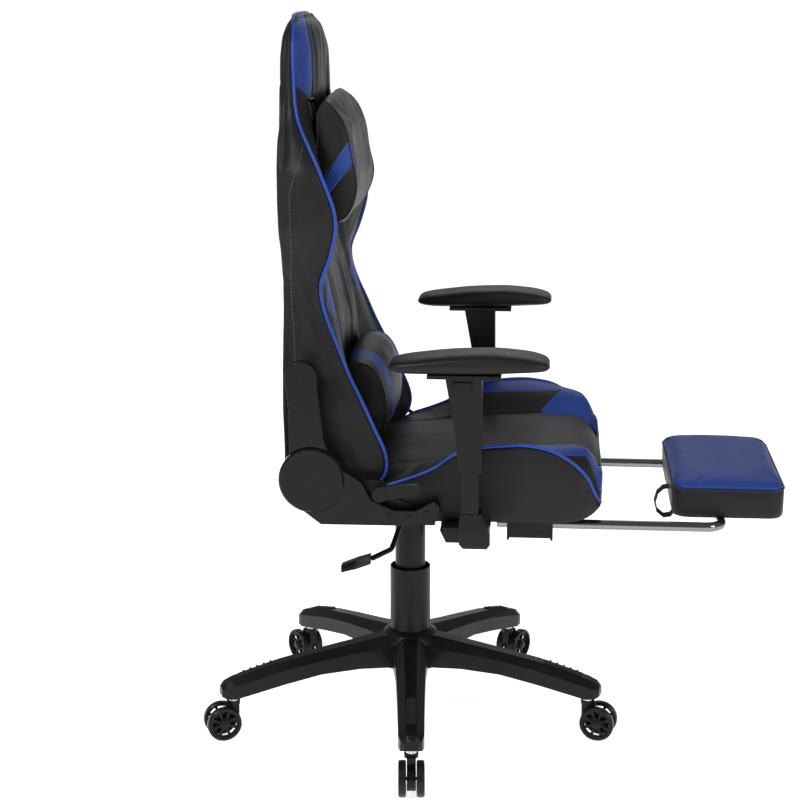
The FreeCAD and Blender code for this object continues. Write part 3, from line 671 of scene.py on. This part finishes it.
BAND_INNER = 0.52   # the blue band's inner edge, as a share of the bolster's slope
BAND_START = 0.085  # x where the band starts
TIP_START = 0.222   # x where the blue front starts, at the bolster's inner seam
TIP_SLANT = 0.040   # how much further forwards it starts at the band
NOTCH_INNER = 0.72  # the black notch's point, as a share of the slope
NOTCH_X = 0.300     # x of that point


def seat_panel(column, x):
    """How far a point is inside a blue panel of the seat."""
    c = min(column, 2 * SEAT_HALF - column)
    if not SEAT_EDGES[1] <= c <= SEAT_EDGES[2]:
        return OUTSIDE
    s = (c - SEAT_EDGES[1]) / SEAT_COUNTS[1]
    width = SEAT_OUTER - SEAT_INNER
    band = min((s - BAND_INNER) * width, (x - BAND_START) * 0.6)
    tip = (x - TIP_START - TIP_SLANT * s / BAND_INNER) * 0.8
    behind, ahead = max(0.0, NOTCH_X - x), max(0.0, x - NOTCH_X)
    notch = (NOTCH_INNER + 3.2 * behind ** 0.8 + 6.0 * ahead - s) * width
    return max(OUTSIDE, min(max(band, tip), notch, s * width, (1 - s) * width + 0.0005))


def make_seat():
    """The seat cushion and its two bolsters as one sewn skin, with piping on the bolsters."""
    stations = np.concatenate([np.linspace(-0.084, 0.28, 84), np.linspace(0.284, 0.322, 12)])
    rings = [seat_ring(x) for x in stations]

    def tucked(ring, share, push):
        """A ring drawn towards its middle and pushed along x, for a rounded end."""
        middle = ring.mean(axis=0)
        small = middle + (ring - middle) * share
        small[:, 0] = ring[:, 0] + push
        return small
    rear = [tucked(rings[0], s, push) for s, push in ((0.6, -0.003), (0.9, -0.002))]
    nose = [tucked(rings[-1], s, push) for s, push in
            ((0.96, 0.0035), (0.86, 0.006), (0.62, 0.0075), (0.3, 0.008))]
    rings = np.array(rear + rings + nose)
    rows, columns = rings.shape[:2]
    mesh = skin_mesh("seat_cover", rings, lambda r, c, p: seat_panel(c, p[0]))
    seat = piece("seat_cover", mesh, "seat", LEATHER)
    inner, outer = SEAT_EDGES[1], SEAT_EDGES[2]
    mirror = 2 * SEAT_HALF
    free = np.ones((rows, columns))
    free[:, [inner, outer, mirror - inner, mirror - outer]] = 0
    free[:, SEAT_EDGES[3]:mirror - SEAT_EDGES[3] + 1] = 0
    free[:3] = 0
    inflate(seat, np.append(free.ravel(), [0, 0]), pressure=2.0, frames=12, cap=0.005)
    sink_seams(seat, [(r, c) for r in range(3, rows - 2) for c in (inner, mirror - inner)],
               columns, 0.003)
    wrinkle(seat, amount=0.0014, scale=10, seed=5.0)
    spots = read_mesh(mesh)[0][:rows * columns].reshape(rows, columns, 3)
    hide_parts("seat_cushion", "seat_bolster_right", "seat_bolster_left")
    for side, column in (("right", outer), ("left", mirror - outer)):
        path = [spots[r, column] * (1, 1.003, 1) + (0, 0, 0.001)
                for r in range(14, rows - 3, 2)]
        tube(f"seat_piping_{side}", path, 0.0027, "seat", BLUE_PIPING)


# ================================================================ pillows and footrest
# Sizes of the rings that close a pillow's end, as shares of its end seam
DOME_SHARES = (0.99, 0.97, 0.93, 0.87, 0.8, 0.72, 0.64, 0.56, 0.47, 0.38, 0.28, 0.17)
END_ROWS = len(DOME_SHARES)
PILLOW_RINGS, PILLOW_COLUMNS = 72, 110


def cushion_rings(profile, half_width, shrink, end_bulge):
    """Rings along Y of a closed side profile: crowned between two domed end panels.

    shrink is how much smaller the section is at an end seam, along x and along z.
    """
    middle = profile.mean(axis=0)
    shrink = np.array(shrink)
    rings = []
    for t in np.sin(np.linspace(-1, 1, PILLOW_RINGS) * math.pi / 2):
        ring = middle + (profile - middle) * (1 - shrink * abs(t) ** 2.2)
        rings.append(np.column_stack([ring[:, 0], np.full(len(ring), t * half_width), ring[:, 1]]))
    for end, sign in ((0, -1), (-1, 1)):
        dome = []
        for share in DOME_SHARES:
            ring = middle + (rings[end][:, [0, 2]] - middle) * share
            y = sign * (half_width + end_bulge * (1 - share ** 2))
            dome.append(np.column_stack([ring[:, 0], np.full(len(ring), y), ring[:, 1]]))
        rings = dome[::-1] + rings if sign < 0 else rings + dome
    return np.array(rings)


def make_pillow(name, outline, half_width, shrink, end_bulge, panel, back_x, ruffle):
    """A stuffed pillow on the body of the same name; it rests against the back at back_x."""
    profile = closed_spline(np.array(outline) * MM, PILLOW_COLUMNS)
    rings = cushion_rings(profile, half_width, shrink, end_bulge)
    rows, columns = rings.shape[:2]
    mesh = skin_mesh(f"{name}_cover", rings, lambda r, c, p: panel(*p))
    pillow = piece(f"{name}_cover", mesh, name, LEATHER)
    free = np.ones((rows, columns))
    free[[END_ROWS, rows - 1 - END_ROWS]] = 0
    free[rings[:, :, 0] < back_x + 0.004] = 0
    inflate(pillow, np.append(free.ravel(), [0, 0]), pressure=3.5, frames=14, cap=0.0035,
            stiffness=9)
    wrinkle(pillow, amount=ruffle, scale=13, seed=11.0)
    spots = read_mesh(mesh)[0][:rows * columns].reshape(rows, columns, 3)
    for side, row in (("right", END_ROWS), ("left", rows - 1 - END_ROWS)):
        tube(f"{name}_seam_{side}", [tuple(p) for p in spots[row, ::3]], 0.0014, name,
             BLACK_PIPING, closed=True)
    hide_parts(name)


# x and z round each pillow's side outline (mm)
HEAD_PILLOW = [
    (-138, 1090), (-131, 1107), (-126, 1112), (-120, 1108), (-104, 1083), (-95, 1052),
    (-91, 1018), (-86, 990), (-82, 966), (-84, 942), (-91, 920), (-101, 903), (-118, 898),
    (-135, 904), (-138, 920), (-138, 1000), (-138, 1075)]
LUMBAR_PILLOW = [
    (-99, 672), (-88, 684), (-66, 685), (-45, 671), (-31, 643), (-23, 606), (-25, 568),
    (-39, 543), (-62, 532), (-92, 535), (-100, 545), (-100, 610), (-100, 660)]


def make_head_pillow():
    """The neck pillow; its blue band is on the right end only."""

    def panel(x, y, z):
        """The slanted blue band, from the end's top front down to its rear."""
        upper = 1.058 + (x + 0.077) * 1.51 - z
        lower = z - np.interp(x, (-0.125, -0.112, -0.104, -0.082, -0.074, -0.066),
                              (0.948, 0.964, 0.974, 1.003, 1.029, 1.060))
        return max(OUTSIDE, min(upper * 0.55, lower * 0.55, abs(y) - 0.124, -y, x + 0.130))
    make_pillow("head_pillow", HEAD_PILLOW, half_width=0.136, shrink=(-0.16, 0.09),
                end_bulge=0.007, panel=panel, back_x=-0.138, ruffle=0.0024)


def make_lumbar_pillow():
    """The lower back's pillow, with two blue bands down its front."""
    def panel(x, y, z):
        """Two blue bands that lean together towards the foot of the pillow."""
        middle = 0.095 - 0.045 * min(1.0, max(0.0, 0.645 - z) / 0.105)
        return max(OUTSIDE, min(0.023 - abs(abs(y) - middle), x + 0.094, 0.1405 - abs(y)))
    make_pillow("lumbar_pillow", LUMBAR_PILLOW, half_width=0.143, shrink=(0.12, 0.15),
                end_bulge=0.008, panel=panel, back_x=-0.100, ruffle=0.0020)


# Rings of the footrest's cover from its underside to its top: share of the pad's half depth,
# height above the underside of the CAD cushion, and corner radius (m)
FOOTREST_LEVELS = [
    (0.60, -0.006, 0.030), (0.965, -0.006, 0.026), (1.0, -0.002, 0.024), (1.0, 0.014, 0.024),
    (1.0, 0.030, 0.024), (1.0, 0.0445, 0.024), (0.982, 0.0495, 0.026), (0.945, 0.0535, 0.028),
    (0.89, 0.0562, 0.032), (0.80, 0.0580, 0.034), (0.66, 0.0592, 0.036), (0.45, 0.0600, 0.04),
    (0.2, 0.0603, 0.04)]
FOOTREST_SEAM = 5            # the ring where the black side meets the blue top


def make_footrest():
    """The footrest's pad: a black side that wraps its board, and a crowned blue top."""
    low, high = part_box("footrest_cushion")
    x0, x1, y0, y1 = low.x + 0.002, high.x - 0.002, low.y + 0.002, high.y - 0.002
    rings = []
    middle = np.array(((x0 + x1) / 2, (y0 + y1) / 2))
    for share, lift, radius in FOOTREST_LEVELS:
        outline = rounded_rectangle(x0, x1, y0, y1, radius, 8, 30)
        inset = (1 - share) * (x1 - x0) / 2
        scale = 1 - inset / np.array([(x1 - x0) / 2, (y1 - y0) / 2])
        outline = middle + (outline - middle) * scale
        rings.append(np.column_stack([outline, np.full(len(outline), low.z + lift)]))
    rings = np.array(rings)
    mesh = skin_mesh("footrest_cover", rings,
                     lambda r, c, p: max(OUTSIDE, min(-OUTSIDE, (r - FOOTREST_SEAM) * 0.002)))
    pad = piece("footrest_cover", mesh, "footrest_pad", LEATHER)
    divide = pad.modifiers.new("finer", "SUBSURF")
    divide.levels = divide.render_levels = 1
    graph = bpy.context.evaluated_depsgraph_get()
    pad.data = bpy.data.meshes.new_from_object(pad.evaluated_get(graph))
    pad.modifiers.clear()
    for polygon in pad.data.polygons:
        polygon.use_smooth = True
    seam_z = low.z + FOOTREST_LEVELS[FOOTREST_SEAM][1]
    free = []
    for vertex in pad.data.vertices:
        z = vertex.co.z
        free.append(0.0 if z < low.z - 0.003 or abs(z - seam_z) < 0.0022 else 1.0)
    inflate(pad, free, pressure=3.0, frames=12, cap=0.004, stiffness=14)
    wrinkle(pad, amount=0.0008, scale=12, seed=23.0)
    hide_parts("footrest_cushion")
    path = [tuple(p) for p in rings[FOOTREST_SEAM][::2]]
    tube("footrest_piping", path, 0.0017, "footrest_pad", BLACK_PIPING,
         closed=True)


# ================================================================ arm pads
# Heights (mm) of an arm pad's top and underside at each share of its length, rear to front
ARM_PAD_TOP = smooth_through([0, 0.012, 0.05, 0.2, 0.45, 0.64, 0.85, 0.95, 0.985, 1.0],
                             [708, 712.5, 717, 723.5, 730, 731.5, 727.5, 722, 717.5, 711.5])
ARM_PAD_FOOT = smooth_through([0, 0.012, 0.05, 0.14, 0.40, 0.62, 0.8, 0.95, 0.985, 1.0],
                              [706, 701.5, 698.5, 696.3, 696.2, 697.2, 699.8, 702.5, 705, 709.5])
ARM_PAD_TIP = 0.62           # width at the tips, as a share of the middle's


def make_arm_pads():
    """Moulded pads, widest in the middle and thin at both ends."""
    for side in ("right", "left"):
        low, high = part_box(f"arm_pad_{side}")
        mid = (low.y + high.y) / 2
        half = (high.y - low.y) / 2
        rings = []
        shares = (1 - np.cos(np.linspace(0, math.pi, 60))) / 2
        for share in shares:
            x = low.x + 0.0015 + (high.x - low.x - 0.003) * share
            round_in = math.sqrt(max(0.0, 1 - abs(2 * share - 1) ** 7))
            width = half * (ARM_PAD_TIP + (1 - ARM_PAD_TIP) * round_in) - 0.001
            up, down = ARM_PAD_TOP(share) * MM, ARM_PAD_FOOT(share) * MM
            centre, tall = (up + down) / 2, (up - down) / 2
            ring = []
            for k in range(48):
                turn = math.tau * k / 48
                c, s = math.cos(turn), math.sin(turn)
                ring.append((x, mid + width * math.copysign(abs(c) ** 0.55, c),
                             centre + tall * math.copysign(abs(s) ** 0.75, s)))
            rings.append(ring)
        mesh = skin_mesh(f"arm_pad_{side}_skin", np.array(rings))
        pad = piece(f"arm_pad_{side}_skin", mesh, f"arm_{side}", PAD_RUBBER)
        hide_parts(f"arm_pad_{side}")


# ================================================================ hard parts
def dress(name, material, bevel):
    """A CAD node keeps its shape and gets a finish and softened edges."""
    obj = NODES[name]
    obj.data.materials.clear()
    obj.data.materials.append(material)
    if bevel:
        weld = obj.modifiers.new("joined", "WELD")
        weld.merge_threshold = 0.00002
        edge = obj.modifiers.new("soft_edges", "BEVEL")
        edge.width = bevel
        edge.segments = 3
        edge.limit_method = "ANGLE"
        edge.angle_limit = math.radians(30)
        shade = obj.modifiers.new("shading", "WEIGHTED_NORMAL")
        shade.keep_sharp = False
        for polygon in obj.data.polygons:
            polygon.use_smooth = True


def make_hard_parts():
    """A finish and a bevel width (m) for every CAD node that is seen as it is."""
    finishes = {
        "base_star": (NYLON, 0.0022), "foot_pads": (NYLON_TEXTURED, 0.0006),
        "caster_stems": (STEEL, 0.0004), "lift_outer_tube": (STEEL_BLACK, 0.0006),
        "lift_cover_lower": (NYLON, 0.0010), "lift_cover_middle": (NYLON, 0.0010),
        "lift_piston": (STEEL, 0.0004), "tilt_housing": (STEEL_BLACK, 0.0030),
        "tilt_pin": (STEEL, 0.0006), "tension_bolt": (STEEL, 0.0004),
        "tension_knob": (NYLON, 0.0010), "lift_lever_rod": (STEEL_BLACK, 0),
        "lift_lever_grip": (GLOSS_PLASTIC, 0.0022), "seat_plate": (STEEL_BLACK, 0.0006),
        "seat_board": (PLYWOOD, 0.0004), "seat_bolts": (STEEL, 0.0004),
        "arm_brackets": (STEEL_BLACK, 0.0020), "recliner_plates": (STEEL_BLACK, 0.0006),
        "cover_screws": (STEEL_BLACK, 0.0004), "footrest_guides": (NYLON, 0.0012),
        "back_frame": (STEEL_BLACK, 0), "back_plates": (STEEL_BLACK, 0.0006),
        "recliner_shaft": (STEEL, 0.0004), "recline_lever": (STEEL_BLACK, 0.0016),
        "footrest_frame": (CHROME_PAINTED_DARK, 0),
        "footrest_board": (LINED_BOARD, 0.0004), "footrest_hinges": (STEEL_BLACK, 0.0006),
        "footrest_loop": (STRAP, 0.0006),
    }
    for side in ("right", "left"):
        finishes[f"arm_post_{side}"] = (GLOSS_PLASTIC, 0.0045)
        finishes[f"arm_sleeve_{side}"] = (GLOSS_PLASTIC, 0.0050)
        finishes[f"arm_button_{side}"] = (GLOSS_PLASTIC, 0.0010)
        finishes[f"recliner_cover_{side}"] = (GLOSS_PLASTIC, 0.0016)
        finishes[f"back_cover_{side}"] = (GLOSS_PLASTIC, 0.0022)
    for k in range(1, 6):
        finishes[f"caster_{k}_fork"] = (GLOSS_PLASTIC, 0.0008)
        finishes[f"caster_{k}_wheels"] = (TYRE, 0.0005)
    for name, (material, bevel) in finishes.items():
        dress(name, material, bevel)


SCREW_SPOTS = ((-0.156, 0.612), (-0.153, 0.672))   # x and z on each side cover of the back
COVER_FACE = 0.2831                                # how far that cover's face is from the middle plane
# Radius and height above the face of each ring of a screw, from its rim into its socket
SCREW_RINGS = ((0.0052, -0.001), (0.0052, 0.0006), (0.0044, 0.0009), (0.0026, 0.0009),
               (0.0022, -0.0003))


def make_cover_screws():
    """Blackened socket screws on the outside of the back's side covers."""
    sides = 24
    vertices, faces = [], []
    for out in (-1, 1):
        for x, z in SCREW_SPOTS:
            base = len(vertices)
            for radius, lift in SCREW_RINGS:
                for k in range(sides):
                    turn = out * math.tau * k / sides
                    vertices.append((x + radius * math.cos(turn), out * COVER_FACE + out * lift,
                                     z - radius * math.sin(turn)))
            last = base + (len(SCREW_RINGS) - 1) * sides
            for ring in range(base, last, sides):
                for k in range(sides):
                    a, b = ring + k, ring + (k + 1) % sides
                    faces.append((a, b, b + sides, a + sides))
            faces.append(tuple(last + k for k in range(sides)))
    mesh = bpy.data.meshes.new("back_cover_screws")
    mesh.from_pydata(vertices, [], faces)
    piece("back_cover_screws", mesh, "backrest", STEEL_BLACK)


# ================================================================ studio
FLOOR_HALF = 12.0
FLOOR_GLOW = 0.82            # brings the floor close to the white of the sky behind it
# The sky is bright up to the first of these heights (z of the view direction) and dim above
# the second, so that the tops of black leather reflect little of it
SKY_HEIGHTS, SKY_STRENGTHS = (0.005, 0.12), (1.03, 0.24)
LIGHTS_AIM = Vector((0.15, 0, 0.6))
LIGHTS = (("key", (-1.6, -2.6, 3.2), 110, 0.7), ("fill", (2.6, -2.2, 1.8), 50, 0.8),
          ("rim", (0.4, 2.8, 2.6), 16, 2.0))   # name, place, watts, width


def make_floor():
    """A wide white floor that takes the chair's shadow."""
    mesh = bpy.data.meshes.new("floor")
    size = FLOOR_HALF
    mesh.from_pydata([(-size, -size, 0), (size, -size, 0), (size, size, 0), (-size, size, 0)],
                     [], [(0, 1, 2, 3)])
    floor = bpy.data.objects.new("floor", mesh)
    bpy.context.scene.collection.objects.link(floor)
    pale = finish("floor_pale", (0.95, 0.95, 0.95), roughness=0.8, spread=0.05, shade=0.004,
                  patch=1.5, specular=0.1)
    glow = pale.node_tree.nodes["Principled BSDF"]
    glow.inputs["Emission Color"].default_value = (1, 1, 1, 1)
    glow.inputs["Emission Strength"].default_value = FLOOR_GLOW
    mesh.materials.append(pale)


def make_sky():
    """A white sky, bright at the horizon and dim overhead."""
    world = bpy.context.scene.world or bpy.data.worlds.new("studio")
    bpy.context.scene.world = world
    world.use_nodes = True
    nodes, links = world.node_tree.nodes, world.node_tree.links
    nodes["Background"].inputs[0].default_value = (1, 1, 1, 1)
    facing = nodes.new("ShaderNodeTexCoord")
    split = nodes.new("ShaderNodeSeparateXYZ")
    dome = nodes.new("ShaderNodeMapRange")
    for sockets, values in ((("From Min", "From Max"), SKY_HEIGHTS),
                            (("To Min", "To Max"), SKY_STRENGTHS)):
        for socket, value in zip(sockets, values):
            dome.inputs[socket].default_value = value
    links.new(facing.outputs["Generated"], split.inputs["Vector"])
    links.new(split.outputs["Z"], dome.inputs["Value"])
    links.new(dome.outputs["Result"], nodes["Background"].inputs[1])


def make_lights():
    """Square area lights that all point at the middle of the chair."""
    for name, spot, power, width in LIGHTS:
        light = bpy.data.lights.new(name, "AREA")
        light.energy = power
        light.size = width
        obj = bpy.data.objects.new(name, light)
        obj.location = spot
        obj.rotation_euler = (LIGHTS_AIM - Vector(spot)).to_track_quat("-Z", "Y").to_euler()
        bpy.context.scene.collection.objects.link(obj)


CAMERA_SPOT = (0.2434, -3.0857, 1.2905)
CAMERA_DOWN, CAMERA_TURN = 12.93, 4.85   # degrees below level, and round towards the rear
CAMERA_LENS = 82.3                       # mm, on a 36 mm sensor


def make_camera():
    """The camera of the main view."""
    camera = bpy.data.cameras.new("camera")
    camera.sensor_width = 36
    camera.lens = CAMERA_LENS
    obj = bpy.data.objects.new("camera", camera)
    obj.location = CAMERA_SPOT
    obj.rotation_euler = (math.radians(90 - CAMERA_DOWN), 0, math.radians(CAMERA_TURN))
    bpy.context.scene.collection.objects.link(obj)
    bpy.context.scene.camera = obj


bpy.context.scene.view_settings.view_transform = "Standard"
make_camera()
make_floor()
make_sky()
make_lights()
make_hard_parts()
make_cover_screws()
make_back()
make_slot_trims()
make_seat()
make_head_pillow()
make_lumbar_pillow()
make_footrest()
make_arm_pads()
